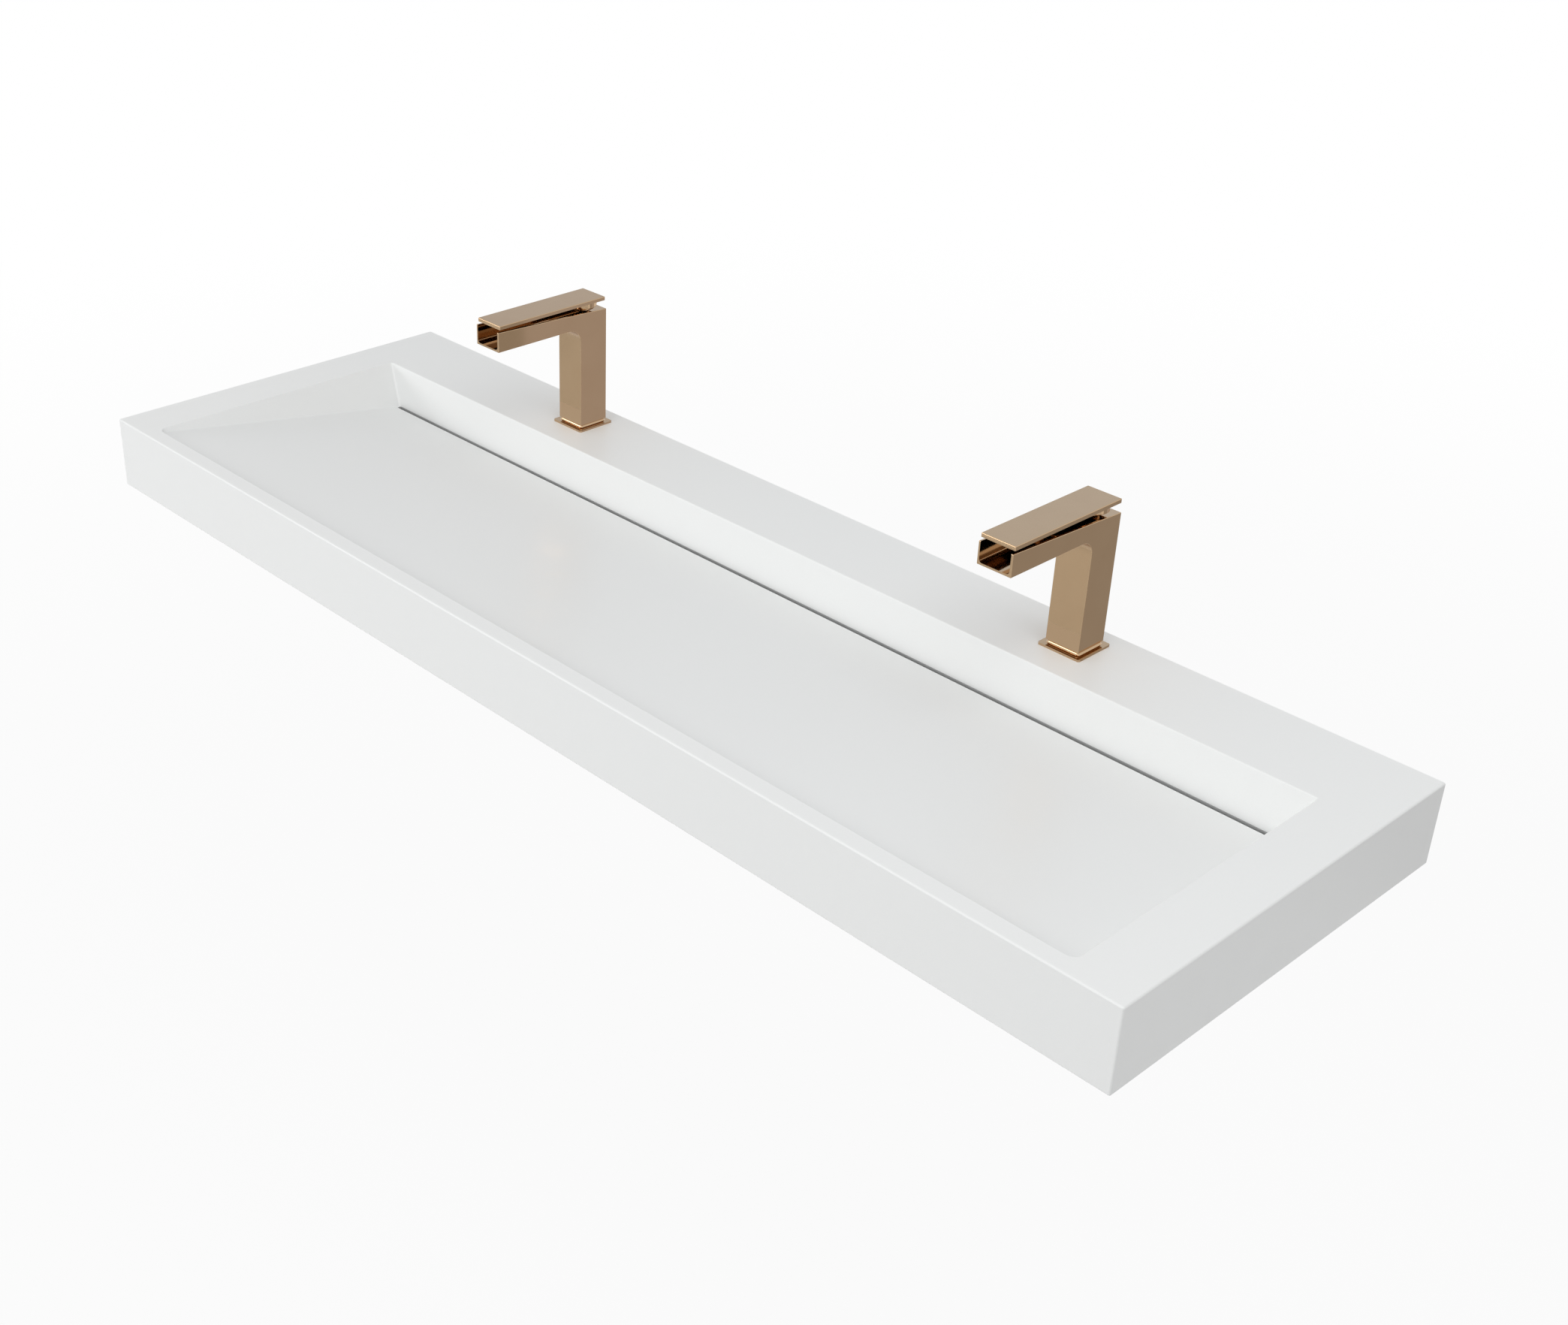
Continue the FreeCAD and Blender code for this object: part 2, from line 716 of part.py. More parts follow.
def lever():
    """The blade with its boss, the hollow over the bonnet, the stem's socket and the grub screw's hole."""
    blade = rounded_box(tap_half, -lever_front, lever_back, lever_under, lever_top, lever_edge_round)
    upper = [e for e in blade.Edges if e.BoundBox.ZMin > lever_top - TINY]
    blade = blade.makeFillet(lever_edge_round, upper)
    boss = rod(boss_r, 0, 0, lever_under - boss_drop, lever_under)
    low = [e for e in boss.Edges if e.BoundBox.ZMax < lever_under - boss_drop + TINY]
    boss = boss.makeFillet(boss_edge_round, low).cut(lift_relief())
    dome = Part.makeSphere(bonnet_r + boss_gap, V(0, 0, pivot_height))
    socket = box(-stem_half, stem_half, -stem_half, stem_half, pivot_height, socket_top)
    return union([blade, boss]).cut([dome, socket, grub_bar(boss_r)])


def lift_relief():
    """The room behind the boss that the level top of the tap body takes up at full lift."""
    top = plateau + lift_gap
    relief = box(-2 * boss_r, 2 * boss_r, 0, 2 * boss_r, top - boss_r, top)
    relief.rotate(V(0, 0, pivot_height), RIGHT, lever_lift)
    return relief


def grub_bar(length, start=stem_half):
    """A bar along the grub screw's axis, from a distance in front of the tap's axis."""
    return Part.makeCylinder(grub_r, length, V(0, -start, grub_height), -BACK)


def lever_pieces():
    """Blade, stem, grub screw and the button that hides it, which lift together."""
    return {
        "lever": lever(),
        "lever_stem": lever_stem(),
        "lever_screw": grub_bar(grub_length),
        "lever_button": grub_bar(grub_cap_length, stem_half + grub_length),
    }


# The whole basin

os.makedirs("parts", exist_ok=True)
export("basin_body", basin_body())
export("drain_trough", drain_trough())
for name, shape in waste_pieces().items():
    export(name, shape)
export("left_wall_bracket", wall_bracket(-1))
export("right_wall_bracket", wall_bracket(1))
export("bracket_screws", Part.makeCompound(bracket_screws()))
export("bracket_washers", Part.makeCompound(bracket_washers()))
export("bracket_inserts", Part.makeCompound(bracket_inserts()))

tap = {"body": tap_body(), "moving_disc": moving_disc()}
tap.update(clamp_pieces())
tap.update(cartridge_pieces())
tap.update(rotor_pieces())
tap.update(lever_pieces())
for side, prefix in ((-1, "left_tap_"), (1, "right_tap_")):
    place = V(side * tap_spacing / 2, -tap_setback, rim)
    for name, shape in tap.items():
        export(prefix + name, shape.translated(place))
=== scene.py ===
import math

import bmesh
import bpy
import numpy as np
from mathutils import Matrix


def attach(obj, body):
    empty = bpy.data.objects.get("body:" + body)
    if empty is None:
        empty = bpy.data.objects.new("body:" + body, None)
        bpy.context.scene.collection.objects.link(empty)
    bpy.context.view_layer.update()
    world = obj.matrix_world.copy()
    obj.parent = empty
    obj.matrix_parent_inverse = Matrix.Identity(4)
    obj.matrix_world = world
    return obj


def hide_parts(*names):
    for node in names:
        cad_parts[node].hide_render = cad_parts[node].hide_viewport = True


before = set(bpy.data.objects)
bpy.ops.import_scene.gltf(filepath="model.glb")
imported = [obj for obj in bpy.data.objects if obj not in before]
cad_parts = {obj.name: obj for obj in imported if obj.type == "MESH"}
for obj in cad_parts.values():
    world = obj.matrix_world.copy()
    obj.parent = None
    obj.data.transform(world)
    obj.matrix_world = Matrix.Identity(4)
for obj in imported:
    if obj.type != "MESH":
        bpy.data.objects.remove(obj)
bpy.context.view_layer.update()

# Basin body
# One casting of white mineral powder in acrylic resin, solid colour right through. It leaves the mould
# dull and is sanded to an even satin, so its grain shows only close up. In a box around the narrow slot
# the base colour is taken down to a share of itself, as painted shade for the depth of the slot.


def shader_of(name, colour, roughness, metallic=0.0):
    """A material of one shader, with what is the same all over it set on the shader's own sockets."""
    finish = bpy.data.materials.new(name)
    finish.use_nodes = True
    shader = finish.node_tree.nodes["Principled BSDF"]
    shader.inputs["Base Color"].default_value = (*colour, 1.0)
    shader.inputs["Roughness"].default_value = roughness
    shader.inputs["Metallic"].default_value = metallic
    return finish, shader


def grain(finish, per_metre, detail=3.0, stretch=(1.0, 1.0, 1.0)):
    """Soft spots in the piece's own space, so many to a metre, drawn closer along X, Y and Z by stretch."""
    nodes, links = finish.node_tree.nodes, finish.node_tree.links
    place, squeeze, spots = (nodes.new("ShaderNode" + kind) for kind in ("TexCoord", "Mapping", "TexNoise"))
    squeeze.inputs["Scale"].default_value = stretch
    spots.inputs["Scale"].default_value = per_metre
    spots.inputs["Detail"].default_value = detail
    links.new(place.outputs["Object"], squeeze.inputs["Vector"])
    links.new(squeeze.outputs["Vector"], spots.inputs["Vector"])
    return spots.outputs["Fac"]


def vary(finish, shader, socket, pattern, low, high):
    """A number on a shader socket that runs from low to high over the middle of a pattern."""
    span = finish.node_tree.nodes.new("ShaderNodeMapRange")
    for name, value in (("From Min", 0.3), ("From Max", 0.7), ("To Min", low), ("To Max", high)):
        span.inputs[name].default_value = value
    finish.node_tree.links.new(pattern, span.inputs["Value"])
    finish.node_tree.links.new(span.outputs["Result"], shader.inputs[socket])


def tint(finish, shader, pattern, first, second):
    """A base colour that runs from the first colour to the second over the middle of a pattern."""
    ramp = finish.node_tree.nodes.new("ShaderNodeValToRGB")
    for stop, place, colour in zip(ramp.color_ramp.elements, (0.3, 0.7), (first, second)):
        stop.position = place
        stop.color = (*colour, 1.0)
    finish.node_tree.links.new(pattern, ramp.inputs["Fac"])
    finish.node_tree.links.new(ramp.outputs["Color"], shader.inputs["Base Color"])


def relief(finish, shader, pattern, height):
    """Bumps as high as a pattern times a height in metres."""
    bump = finish.node_tree.nodes.new("ShaderNodeBump")
    bump.inputs["Strength"].default_value = 1.0
    bump.inputs["Distance"].default_value = height
    finish.node_tree.links.new(pattern, bump.inputs["Height"])
    finish.node_tree.links.new(bump.outputs["Normal"], shader.inputs["Normal"])


def dress(finish, *nodes):
    """Gives CAD nodes a finish."""
    for node in nodes:
        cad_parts[node].material_slots[0].material = finish


def in_box(finish, low, high, within, outside):
    """One number inside a box in the piece's own space and another outside it. The place less the box's
    middle is measured in the box's half widths, and the largest of its three parts is under 1 inside."""
    nodes, links = finish.node_tree.nodes, finish.node_tree.links
    middle, half = (np.array(high) + low) / 2, (np.array(high) - low) / 2
    kinds = ("TexCoord", "Mapping", "VectorMath", "SeparateXYZ", "Math", "Math", "MapRange")
    place, centred, parts, split, wider, widest, choice = (nodes.new("ShaderNode" + kind) for kind in kinds)
    centred.inputs["Location"].default_value = -middle / half
    centred.inputs["Scale"].default_value = 1 / half
    parts.operation = "ABSOLUTE"
    wider.operation = widest.operation = "MAXIMUM"
    for name, value in (("From Min", 0.95), ("From Max", 1.0), ("To Min", within), ("To Max", outside)):
        choice.inputs[name].default_value = value
    links.new(place.outputs["Object"], centred.inputs["Vector"])
    links.new(centred.outputs["Vector"], parts.inputs[0])
    links.new(parts.outputs["Vector"], split.inputs["Vector"])
    links.new(split.outputs["X"], wider.inputs[0])
    links.new(split.outputs["Y"], wider.inputs[1])
    links.new(wider.outputs["Value"], widest.inputs[0])
    links.new(split.outputs["Z"], widest.inputs[1])
    links.new(widest.outputs["Value"], choice.inputs["Value"])
    return choice.outputs["Result"]


def dim(finish, shader, share):
    """Takes the base colour down to a share of itself."""
    scaled = finish.node_tree.nodes.new("ShaderNodeVectorMath")
    scaled.operation = "SCALE"
    finish.node_tree.links.new(shader.inputs["Base Color"].links[0].from_socket, scaled.inputs[0])
    finish.node_tree.links.new(share, scaled.inputs["Scale"])
    finish.node_tree.links.new(scaled.outputs["Vector"], shader.inputs["Base Color"])


# Painted shade: inside this box around the slot the base colour is dimmed to a share of itself.
slot_low = (-0.72, -0.1242, -0.0150)
slot_high = (0.72, -0.1178, -0.0012)
slot_shade_share = 0.55
satin_white, shader = shader_of("satin_white", (0.87, 0.88, 0.875), 0.38)
shader.inputs["Specular IOR Level"].default_value = 0.35
tint(satin_white, shader, grain(satin_white, 700.0), (0.863, 0.874, 0.869), (0.877, 0.886, 0.881))
dim(satin_white, shader, in_box(satin_white, slot_low, slot_high, slot_shade_share, 1.0))
vary(satin_white, shader, "Roughness", grain(satin_white, 35.0, 5.0), 0.34, 0.42)
relief(satin_white, shader, grain(satin_white, 2600.0, 2.0), 0.000004)
dress(satin_white, "basin_body")

# Drain trough
# A channel of the same stone, cut and glued from strips and bonded under the slot. Nobody sees it in use,
# so it is left as the sander leaves it.

sanded_white, shader = shader_of("sanded_white", (0.82, 0.83, 0.825), 0.6)
tint(sanded_white, shader, grain(sanded_white, 500.0), (0.805, 0.815, 0.81), (0.83, 0.838, 0.834))
vary(sanded_white, shader, "Roughness", grain(sanded_white, 60.0, 5.0), 0.52, 0.66)
relief(sanded_white, shader, grain(sanded_white, 900.0, 4.0, (0.15, 1.0, 1.0)), 0.00002)
dress(sanded_white, "drain_trough")

# Waste outlet and its nut
# A turned brass outlet with a rolled thread, a flange and a cross of two bars, drawn down on its seal by a
# forged hexagon nut. Both are chrome plated.

axis_y = -0.121
outlet_radius = 0.0190
thread_pitch = 0.00231
thread_depth = 0.0012


def surface(name, places, faces):
    """A mesh piece from places and faces, with its poles merged and its edges sharp past 30 degrees."""
    mesh = bpy.data.meshes.new(name)
    mesh.from_pydata(places.tolist(), [], faces.tolist())
    work = bmesh.new()
    work.from_mesh(mesh)
    bmesh.ops.remove_doubles(work, verts=work.verts, dist=1e-7)
    bmesh.ops.dissolve_degenerate(work, edges=work.edges, dist=1e-8)
    work.to_mesh(mesh)
    work.free()
    mesh.shade_smooth()
    mesh.set_sharp_from_angle(angle=math.radians(30))
    piece = bpy.data.objects.new(name, mesh)
    bpy.context.scene.collection.objects.link(piece)
    return piece


def turned(name, rings, x, y, pitch=1.0, sides=96, bored=True, chamfered=False):
    """A piece turned about an upright axis. At the turn t, a ring of (radius, height, flats, thread) lies
    at the radius divided by the cosine of the angle from the middle of the nearest flat, less the thread's
    depth times a ridge that climbs one pitch a turn. Chamfered flats stay inside cones of 30 degrees at both
    ends."""
    radius, height, flats, thread = np.array(rings, float).T[:, :, None]
    turn = np.linspace(0, 2 * np.pi, sides, endpoint=False)[None]
    flat = 2 * np.pi / np.maximum(flats, 1)
    from_middle = (turn + flat / 2) % flat - flat / 2
    reach = np.where(flats > 0, radius / np.cos(np.where(flats > 0, from_middle, 0)), radius)
    if chamfered:
        cone = radius + math.sqrt(3) * np.minimum(height - height.min(), height.max() - height)
        reach = np.where(flats > 0, np.minimum(reach, cone), reach)
    reach = reach - thread * np.abs(2 * ((height / pitch - turn / (2 * np.pi)) % 1) - 1)
    places = np.stack([x + reach * np.cos(turn), y + reach * np.sin(turn), height + 0 * turn], -1)
    row, column = np.meshgrid(np.arange(len(rings) - (not bored)), np.arange(sides), indexing="ij")
    row_next, column_next = (row + 1) % len(rings), (column + 1) % sides
    corners = [(row, column), (row, column_next), (row_next, column_next), (row_next, column)]
    quads = np.stack([i * sides + j for i, j in corners], -1).reshape(-1, 4)
    return surface(name, places.reshape(-1, 3), quads)


def thread_rings(radius, low, high, pitch, depth, steps=8):
    """Rings of a thread between two heights, which runs out smoothly over one pitch at each end."""
    height = np.arange(low, high, pitch / steps)
    run_out = np.clip(np.minimum(height - low, high - height) / pitch, 0, 1)
    return [(radius, z, 0, depth * k) for z, k in zip(height, run_out)]


def stand_for(piece, finish, slot, body, *nodes):
    """Finishes a piece and puts it on its body in the place of CAD nodes."""
    piece.data.materials.append(finish)
    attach(piece, body)
    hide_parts(*nodes)


chrome, shader = shader_of("chrome", (0.62, 0.625, 0.63), 0.16, 1.0)
vary(chrome, shader, "Roughness", grain(chrome, 90.0, 6.0), 0.1, 0.24)
relief(chrome, shader, grain(chrome, 1500.0, 2.0), 0.000003)

outlet_rings = [
    (0.0140, -0.1335, 0, 0),
    (0.0145, -0.1340, 0, 0),
    (0.0154, -0.1340, 0, 0),
    (0.015875, -0.1335, 0, 0),
    (0.015875, -0.0575, 0, 0),
    (0.0180, -0.0575, 0, 0),
    (outlet_radius, -0.0565, 0, 0),
    *thread_rings(outlet_radius, -0.0564, -0.0295, thread_pitch, thread_depth),
    (outlet_radius, -0.0292, 0, 0),
    (outlet_radius, -0.0290, 0, 0),
    (0.0297, -0.0290, 0, 0),
    (0.0300, -0.0287, 0, 0),
    (0.0300, -0.0274, 0, 0),
    (0.0296, -0.0268, 0, 0),
    (0.0286, -0.0265, 0, 0),
    (0.0180, -0.0269, 0, 0),
    (0.0150, -0.0273, 0, 0),
    (0.0140, -0.0283, 0, 0),
]
outlet = turned("waste_outlet_threaded", outlet_rings, 0.0, axis_y, thread_pitch)
stand_for(outlet, chrome, "waste_brass", "basin", "waste_outlet")

bar_half_length = 0.0146
bar_half_width = 0.0020
bar_half_height = 0.0015
bar_middle = -0.0288
bar_squaring = 0.6


def cross_bar(name, along_x, sides=24):
    """A bar carried straight across the bore into both walls. At the turn t, its section lies at the half
    width times the cosine of t and the half height times its sine, both with their size raised to a power
    under 1, which squares the oval. The section shrinks to a point at both ends to close them."""
    turn = np.linspace(0, 2 * np.pi, sides, endpoint=False)[None]
    wide, high = (np.sign(wave) * np.abs(wave) ** bar_squaring for wave in (np.cos(turn), np.sin(turn)))
    run = bar_half_length * np.array([[-1.0], [-1.0], [1.0], [1.0]])
    size = np.array([[0.0], [1.0], [1.0], [0.0]])
    long = run + 0 * turn
    width = bar_half_width * size * wide
    height = bar_middle + bar_half_height * size * high
    places = np.stack((long, axis_y + width, height) if along_x else (-width, axis_y + long, height), -1)
    row, column = np.meshgrid(np.arange(len(run) - 1), np.arange(sides), indexing="ij")
    after = (column + 1) % sides
    corners = [(row, column), (row, after), (row + 1, after), (row + 1, column)]
    quads = np.stack([i * sides + j for i, j in corners], -1).reshape(-1, 4)
    return surface(name, places.reshape(-1, 3), quads)


for name, along_x in (("waste_cross_bar_long", True), ("waste_cross_bar_short", False)):
    bar = cross_bar(name, along_x)
    bar.data.materials.append(chrome)
    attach(bar, "basin")


def nut_rings(flats, low, high, bore, chamfer):
    """Rings of a hexagon nut: up the outside through both chamfers, then down a bore with sunk ends."""
    steps = np.array([0.0, 0.03, 0.06, 0.09]) * flats / 2
    outside = [(flats / 2, z, 6, 0) for z in (*(low + steps), *(high - steps[::-1]))]
    ends = [(bore + chamfer, high, 0, 0), (bore, high - chamfer, 0, 0)]
    return outside + ends + [(bore, low + chamfer, 0, 0), (bore + chamfer, low, 0, 0)]


waste_nut_rings = nut_rings(0.050, -0.0505, -0.0405, outlet_radius, 0.0008)
waste_nut = turned("waste_nut_chamfered", waste_nut_rings, 0.0, axis_y, chamfered=True)
stand_for(waste_nut, chrome, "waste_brass", "basin", "waste_nut")

# Waste seals and washer
# Two moulded rubber rings, one under the flange and one under the trough, and a white nylon washer that
# lets the nut turn without dragging on the rubber.

rubber, shader = shader_of("rubber", (0.022, 0.022, 0.023), 0.7)
tint(rubber, shader, grain(rubber, 260.0, 4.0), (0.018, 0.018, 0.019), (0.03, 0.03, 0.031))
vary(rubber, shader, "Roughness", grain(rubber, 120.0, 4.0), 0.6, 0.8)
relief(rubber, shader, grain(rubber, 1800.0, 2.0), 0.00001)
dress(rubber, "waste_seal", "waste_gasket")

nylon, shader = shader_of("nylon", (0.78, 0.77, 0.73), 0.45)
tint(nylon, shader, grain(nylon, 140.0), (0.76, 0.75, 0.71), (0.8, 0.79, 0.755))
vary(nylon, shader, "Roughness", grain(nylon, 80.0, 4.0), 0.38, 0.52)
relief(nylon, shader, grain(nylon, 1200.0, 2.0), 0.000006)
dress(nylon, "waste_washer")

# Wall brackets
# A wall plate, a square tube arm and a gusset, cut from steel, welded and powder coated dark grey. The coat
# flows a little in the oven and keeps an orange peel.

powder_coat, shader = shader_of("powder_coat", (0.045, 0.046, 0.048), 0.5)
tint(powder_coat, shader, grain(powder_coat, 90.0, 4.0), (0.041, 0.042, 0.044), (0.052, 0.053, 0.055))
vary(powder_coat, shader, "Roughness", grain(powder_coat, 200.0, 3.0), 0.42, 0.58)
relief(powder_coat, shader, grain(powder_coat, 750.0, 2.0), 0.00003)
dress(powder_coat, "left_wall_bracket", "right_wall_bracket")

# Bracket screws, washers and inserts
# Zinc plated cap screws with hexagon sockets go up through the arms into brass inserts cast in the rim.
# Stamped washers spread their load on the tube.

zinc, shader = shader_of("zinc", (0.5, 0.51, 0.53), 0.38, 1.0)
tint(zinc, shader, grain(zinc, 220.0, 5.0), (0.44, 0.45, 0.47), (0.56, 0.57, 0.59))
vary(zinc, shader, "Roughness", grain(zinc, 300.0, 4.0), 0.3, 0.46)
relief(zinc, shader, grain(zinc, 1400.0, 3.0), 0.000008)
dress(zinc, "bracket_washers")

brass, shader = shader_of("brass", (0.62, 0.43, 0.19), 0.3, 1.0)
tint(brass, shader, grain(brass, 160.0, 5.0), (0.57, 0.39, 0.165), (0.66, 0.465, 0.215))
vary(brass, shader, "Roughness", grain(brass, 400.0, 3.0, (1.0, 1.0, 6.0)), 0.22, 0.38)
relief(brass, shader, grain(brass, 1200.0, 2.0, (1.0, 1.0, 5.0)), 0.000005)
dress(brass, "bracket_inserts")

screw_x = 0.731
screw_pitch = 0.001
screw_rings = [
    (0.0, 0.0098, 0, 0),
    (0.0025, 0.0096, 6, 0),
    (0.0025, 0.0070, 6, 0),
    (0.0031, 0.0068, 0, 0),
    (0.0045, 0.0068, 0, 0),
    (0.0050, 0.0073, 0, 0),
    (0.0050, 0.0127, 0, 0),
    (0.0049, 0.0128, 0, 0),
    (0.0030, 0.0128, 0, 0),
    *thread_rings(0.0030, 0.0130, 0.0464, screw_pitch, 0.0006),
    (0.0026, 0.0470, 0, 0),
    (0.0, 0.0470, 0, 0),
]
screw_places = [(x, y) for x in (-screw_x, screw_x) for y in (-0.100, -0.355)]
for number, (x, y) in enumerate(screw_places, 1):
    screw = turned("bracket_cap_screw_%d" % number, screw_rings, x, y, screw_pitch, sides=48, bored=False)
    stand_for(screw, zinc, "zinc_steel", "basin", "bracket_screws")

# Tap foot plates and their seals
# A square brass plate with a coved plinth stands on a flat ring seal. It has the same rose gold vapour coat
# on polished brass as the rest of the tap, hard and almost free of marks.

rose_gold, shader = shader_of("rose_gold", (0.535, 0.372, 0.227), 0.05, 1.0)
tint(rose_gold, shader, grain(rose_gold, 28.0, 3.0), (0.526, 0.364, 0.221), (0.544, 0.38, 0.233))
vary(rose_gold, shader, "Roughness", grain(rose_gold, 60.0, 5.0), 0.04, 0.06)
relief(rose_gold, shader, grain(rose_gold, 900.0, 2.0, (1.0, 1.0, 0.2)), 0.000001)
dress(rose_gold, "left_tap_foot_plate", "right_tap_foot_plate")
dress(rubber, "left_tap_foot_seal", "right_tap_foot_seal")

# Tap bodies
# One brass casting each, milled inside and polished outside: a hollow column and an open spout in which the
# water runs forward to the tip.

dress(rose_gold, "left_tap_body", "right_tap_body")

# Tap studs and clamps
# A threaded steel stud hangs from a lug in the column. A rubber pad and a horseshoe plate go over it below
# the deck, and a long brass nut draws the tap down.

tap_x = 0.381
stud_y = -0.037
stud_radius = 0.0040
stud_pitch = 0.00125
stud_rings = [
    (0.0, 0.0150, 0, 0),
    (0.0034, 0.0150, 0, 0),
    *thread_rings(stud_radius, 0.0152, 0.0770, stud_pitch, 0.0007),
    (0.0034, 0.0775, 0, 0),
    (0.0, 0.0775, 0, 0),
]
clamp_nut_rings = nut_rings(0.013, 0.0250, 0.0330, stud_radius, 0.0005)
for side, x in (("left", -tap_x), ("right", tap_x)):
    stud = turned(side + "_tap_stud_threaded", stud_rings, x, stud_y, stud_pitch, sides=32, bored=False)
    stand_for(stud, zinc, "zinc_steel", "basin", side + "_tap_stud")
    nut = turned(side + "_tap_clamp_nut_chamfered", clamp_nut_rings, x, stud_y, chamfered=True)
    stand_for(nut, brass, "plain_brass", "basin", side + "_tap_clamp_nut")
    dress(zinc, side + "_tap_clamp_plate")
    dress(rubber, side + "_tap_clamp_rubber")

# Cartridges
# A moulded housing set into the column holds a ground ceramic disc with the water ports. A second disc
# slides over it, and a brass ring nut keeps the housing down.

ceramic, shader = shader_of("ceramic", (0.8, 0.79, 0.76), 0.2)
tint(ceramic, shader, grain(ceramic, 300.0), (0.785, 0.775, 0.745), (0.815, 0.805, 0.775))
vary(ceramic, shader, "Roughness", grain(ceramic, 500.0), 0.15, 0.26)
for side in ("left_tap_", "right_tap_"):
    dress(nylon, side + "cartridge_housing")
    dress(ceramic, side + "fixed_disc", side + "moving_disc")
    dress(brass, side + "cartridge_nut")

# Rotors and stem pins
# The rotor turns in the housing with the lever. A plain steel pin across it is the hinge that the lever's
# stem tilts on.

for side in ("left_tap_", "right_tap_"):
    dress(nylon, side + "rotor")
    dress(zinc, side + "stem_pin")

# Bonnets
# A turned and coated dome that covers the cartridge. Its ball shape is centred on the pivot, so the lever's
# boss keeps the same gap to it at every angle.

dress(rose_gold, "left_tap_bonnet", "right_tap_bonnet")

# Levers
# A flat coated blade with a round boss below it, cut back behind so that it can tilt. The boss sits on the
# square stem and a grub screw from the front holds it there, under a small push-in button.

for side in ("left_tap_", "right_tap_"):
    dress(rose_gold, side + "lever", side + "lever_button")
    dress(brass, side + "lever_stem")
    dress(zinc, side + "lever_screw")

# Floor and background
# A plain pale floor at the height it has under a basin that hangs with its rim 0.85 m up. Cameras and
# polished metal see the background as white and the floor nearly so, as it keeps the object's shadow. The
# floor turns quite white some metres away, so that no line shows where it ends.

floor_height = -0.80
floor_half = 40.0
shadow_reach = 1.2
white_from = 4.0
least_white = 0.92


def background_rays(nodes, links):
    """1 for rays from the camera, from gloss and through glass, 0 for the rest."""
    path = nodes.new("ShaderNodeLightPath")
    first, second = nodes.new("ShaderNodeMath"), nodes.new("ShaderNodeMath")
    first.operation = second.operation = "MAXIMUM"
    links.new(path.outputs["Is Camera Ray"], first.inputs[0])
    links.new(path.outputs["Is Glossy Ray"], first.inputs[1])
    links.new(first.outputs["Value"], second.inputs[0])
    links.new(path.outputs["Is Transmission Ray"], second.inputs[1])
    return second.outputs["Value"]


def one_way(nodes, links, front):
    """A material that shows a shader on the front of its faces and lets rays through from behind."""
    kinds = ("NewGeometry", "BsdfTransparent", "MixShader")
    seen_from, clear, either = (nodes.new("ShaderNode" + kind) for kind in kinds)
    links.new(seen_from.outputs["Backfacing"], either.inputs["Fac"])
    links.new(front, either.inputs[1])
    links.new(clear.outputs["BSDF"], either.inputs[2])
    links.new(either.outputs["Shader"], nodes["Material Output"].inputs["Surface"])


corner = np.array([[-1.0, -1.0], [1.0, -1.0], [1.0, 1.0], [-1.0, 1.0]]) * floor_half
floor_mesh = bpy.data.meshes.new("floor")
floor_mesh.from_pydata(np.column_stack([corner, np.full(4, floor_height)]).tolist(), [], [(0, 1, 2, 3)])
floor = bpy.data.objects.new("floor", floor_mesh)
bpy.context.scene.collection.objects.link(floor)
pale_floor, shader = shader_of("pale_floor", (0.62, 0.62, 0.62), 0.9)
vary(pale_floor, shader, "Roughness", grain(pale_floor, 4.0), 0.85, 0.95)
nodes, links = pale_floor.node_tree.nodes, pale_floor.node_tree.links
away, fade, share = (nodes.new("ShaderNode" + kind) for kind in ("VectorMath", "MapRange", "Math"))
away.operation = "LENGTH"
fade.interpolation_type = "SMOOTHSTEP"
fade.inputs["From Min"].default_value = shadow_reach
fade.inputs["From Max"].default_value = white_from
fade.inputs["To Min"].default_value = least_white
fade.inputs["To Max"].default_value = 1.0
share.operation = "MULTIPLY"
links.new(nodes.new("ShaderNodeTexCoord").outputs["Object"], away.inputs[0])
links.new(away.outputs["Value"], fade.inputs["Value"])
links.new(fade.outputs["Result"], share.inputs[1])
white = nodes.new("ShaderNodeEmission")
mix = nodes.new("ShaderNodeMixShader")
links.new(background_rays(nodes, links), share.inputs[0])
links.new(share.outputs["Value"], mix.inputs["Fac"])
links.new(shader.outputs["BSDF"], mix.inputs[1])
links.new(white.outputs["Emission"], mix.inputs[2])
one_way(nodes, links, mix.outputs["Shader"])
floor.data.materials.append(pale_floor)

# Light
# A white studio gives soft light from all round. Wide soft boxes stand in front and over the right end. A
# smaller one stands low at the front left, where it leaves the bowl's left end in soft shade.

studio = bpy.data.worlds.new("studio")
studio.use_nodes = True
bpy.context.scene.world = studio
nodes, links = studio.node_tree.nodes, studio.node_tree.links
soft = nodes["Background"]
soft.inputs["Color"].default_value = (1.0, 1.0, 1.0, 1.0)
soft.inputs["Strength"].default_value = 0.632
seen = nodes.new("ShaderNodeBackground")
seen.inputs["Color"].default_value = (1.0, 1.0, 1.0, 1.0)
mix = nodes.new("ShaderNodeMixShader")
links.new(background_rays(nodes, links), mix.inputs["Fac"])
links.new(soft.outputs["Background"], mix.inputs[1])
links.new(seen.outputs["Background"], mix.inputs[2])
links.new(mix.outputs["Shader"], nodes["World Output"].inputs["Surface"])


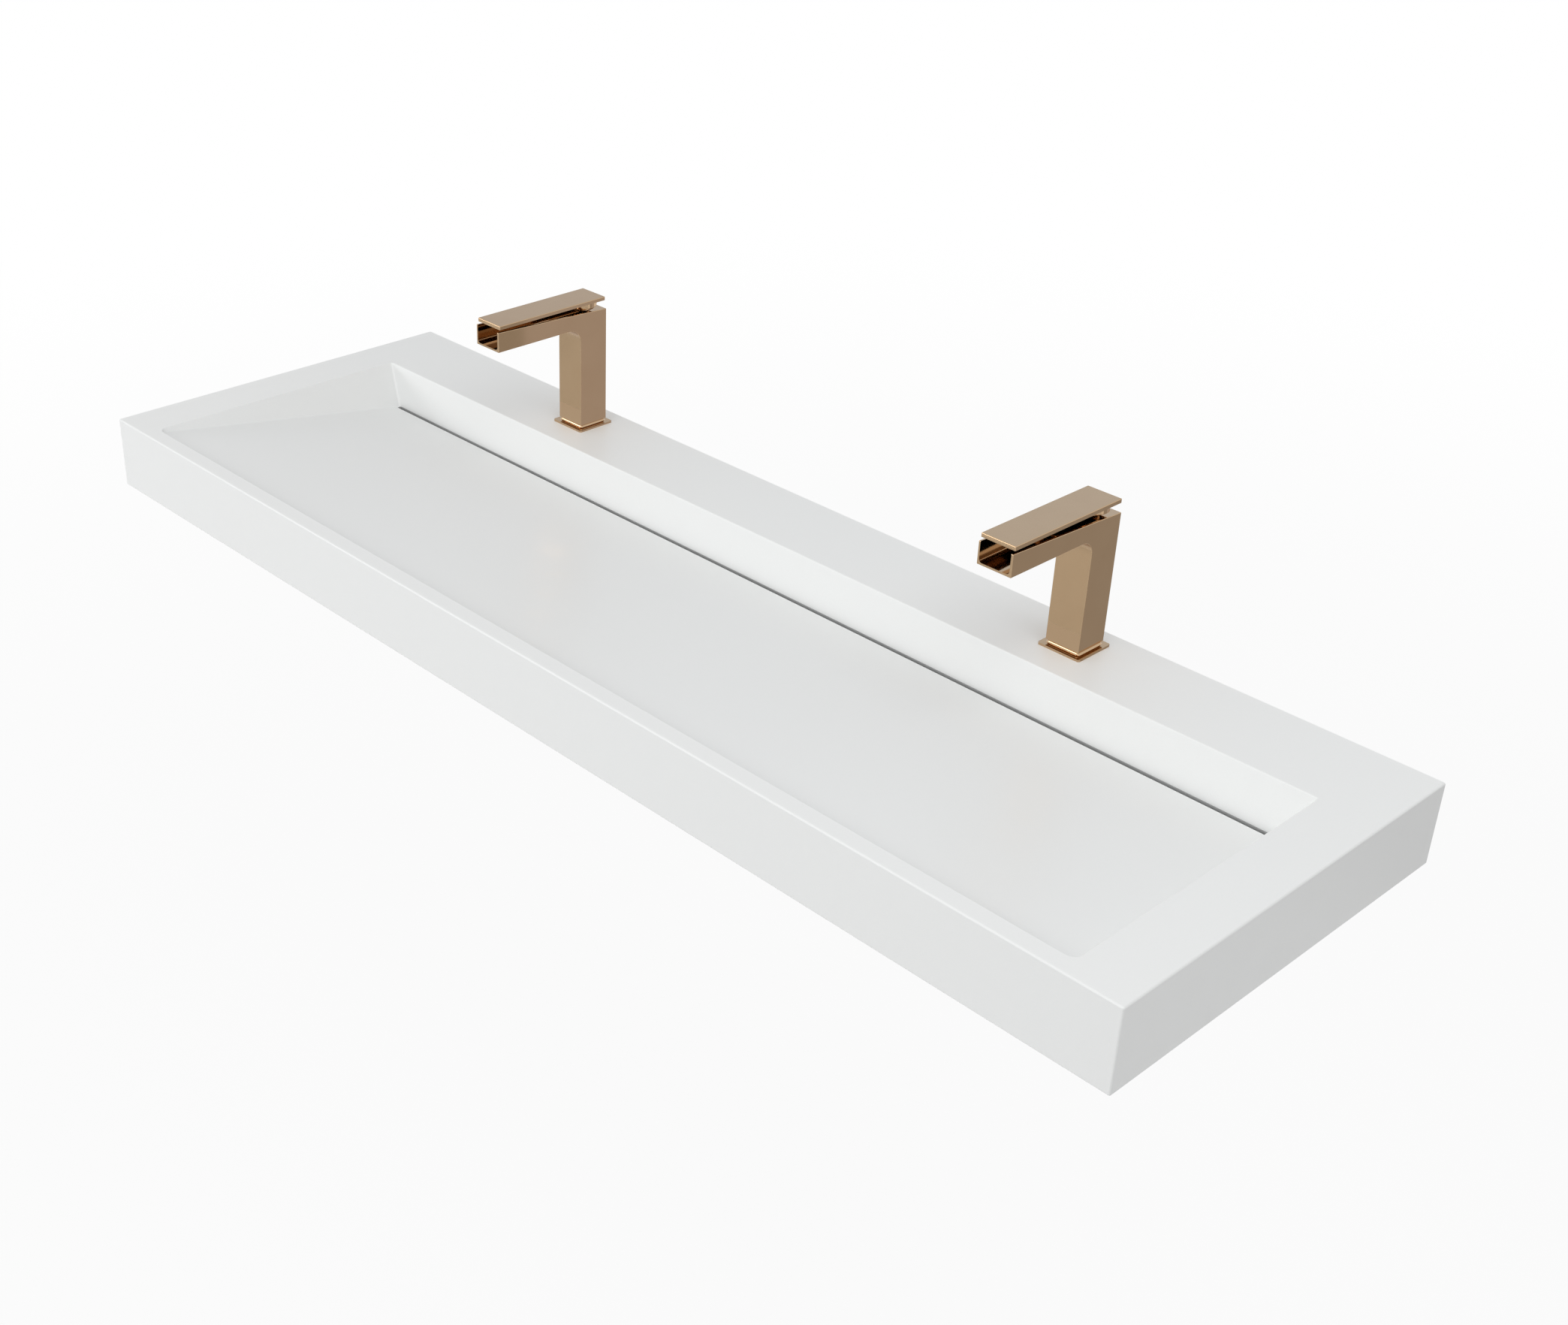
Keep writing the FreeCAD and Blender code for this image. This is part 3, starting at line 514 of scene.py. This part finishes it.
def soft_box(name, place, aim, width, height, watts):
    """A flat lamp at a place, turned so that its light goes to the aim."""
    lamp = bpy.data.lights.new(name, "AREA")
    lamp.shape = "RECTANGLE"
    lamp.size = width
    lamp.size_y = height
    lamp.energy = watts
    holder = bpy.data.objects.new(name, lamp)
    bpy.context.scene.collection.objects.link(holder)
    way = np.array(aim) - np.array(place)
    across = np.cross(way, (0.0, 0.0, 1.0))
    across /= np.linalg.norm(across)
    back = -way / np.linalg.norm(way)
    turn = np.column_stack([across, np.cross(back, across), back])
    holder.matrix_world = Matrix.Translation(place) @ Matrix(turn.tolist()).to_4x4()


soft_box("front_box", (0.0, -3.2, 1.3), aim=(0.0, -0.25, 0.03), width=2.5, height=1.5, watts=23.7)
soft_box("right_box", (1.5, -0.5, 2.2), aim=(0.5, -0.25, 0.03), width=1.6, height=1.6, watts=11.4)
soft_box("front_left_box", (-2.6, -2.9, 0.72), aim=(-0.2, -0.3, 0.03), width=0.9, height=0.7, watts=17.3)

# Cards for the polished metal
# Grey cards stand low behind the right end, hang behind the left end and lie just over the deck at the taps,
# so that each flat face mirrors one even tone. Two bright strips at the front left draw lines on the taps'
# rounded edges. Only reflections show the cards.


def card(name, first, last, colour, strength=1.0):
    """A card between two opposite corners, upright along X or lying level, that glows evenly. Only
    reflections show it, and only on the side where its corners run against the clock."""
    mesh = bpy.data.meshes.new(name)
    corners = [first, (last[0], *first[1:]), last, (first[0], *last[1:])]
    mesh.from_pydata(corners, [], [(0, 1, 2, 3)])
    holder = bpy.data.objects.new(name, mesh)
    bpy.context.scene.collection.objects.link(holder)
    paper = bpy.data.materials.new(name)
    paper.use_nodes = True
    glow = paper.node_tree.nodes.new("ShaderNodeEmission")
    glow.inputs["Color"].default_value = (*colour, 1.0)
    glow.inputs["Strength"].default_value = strength
    one_way(paper.node_tree.nodes, paper.node_tree.links, glow.outputs["Emission"])
    mesh.materials.append(paper)
    holder.visible_camera = holder.visible_diffuse = holder.visible_shadow = False


far_side_grey = (0.6, 0.58, 0.61)
near_side_grey = (0.47, 0.455, 0.445)
far_top_grey = (0.7, 0.73, 0.775)
near_top_grey = (0.765, 0.83, 0.915)
front_grey = (0.745, 0.745, 0.745)
strip_white = (1.0, 1.0, 1.0)
strip_strength = 7.0
over_deck = 0.0515
deck_front = -0.109
tap_front = -0.07
beside_tap = 0.13
card("far_side_card", (0.1, 0.9, -0.75), (0.95, 0.9, -0.05), far_side_grey)
card("near_side_card", (0.95, 0.9, -0.75), (3.0, 0.9, -0.05), near_side_grey)
card("far_top_card", (-3.5, 1.6, 0.7), (-1.5, 1.6, 2.6), far_top_grey)
card("near_top_card", (-1.5, 1.6, 0.7), (0.3, 1.6, 2.6), near_top_grey)
card("far_edge_strip", (-2.8, -2.9, 0.15), (-3.7, -2.9, 1.05), strip_white, strip_strength)
card("near_edge_strip", (-1.0, -2.9, 0.15), (-1.7, -2.9, 1.05), strip_white, strip_strength)
for side, x, side_grey in (("left", -tap_x, far_side_grey), ("right", tap_x, near_side_grey)):
    left, right = x - beside_tap, x + beside_tap
    card(side + "_deck_side_card", (left, tap_front, over_deck), (right, 0.0, over_deck), side_grey)
    card(side + "_deck_front_card", (left, deck_front, over_deck), (right, tap_front, over_deck), front_grey)

# Camera
# It stands in front of the right end, where the photograph was taken, and looks down across the bowl. Its
# sideways shift puts the object where the photograph's frame has it.

eye = (1.41222, -1.58512, 1.04176)
azimuth, elevation, roll = math.radians(47.597), math.radians(29.515), math.radians(0.791)
lens = bpy.data.cameras.new("camera")
lens.sensor_fit = "HORIZONTAL"
lens.sensor_width = 36.0
lens.lens = 46.597
lens.shift_x = 0.0929
camera = bpy.data.objects.new("camera", lens)
bpy.context.scene.collection.objects.link(camera)
tilt = Matrix.Rotation(azimuth, 4, "Z") @ Matrix.Rotation(math.pi / 2 - elevation, 4, "X")
camera.matrix_world = Matrix.Translation(eye) @ tilt @ Matrix.Rotation(roll, 4, "Z")
bpy.context.scene.camera = camera

bpy.context.scene.view_settings.view_transform = "Standard"
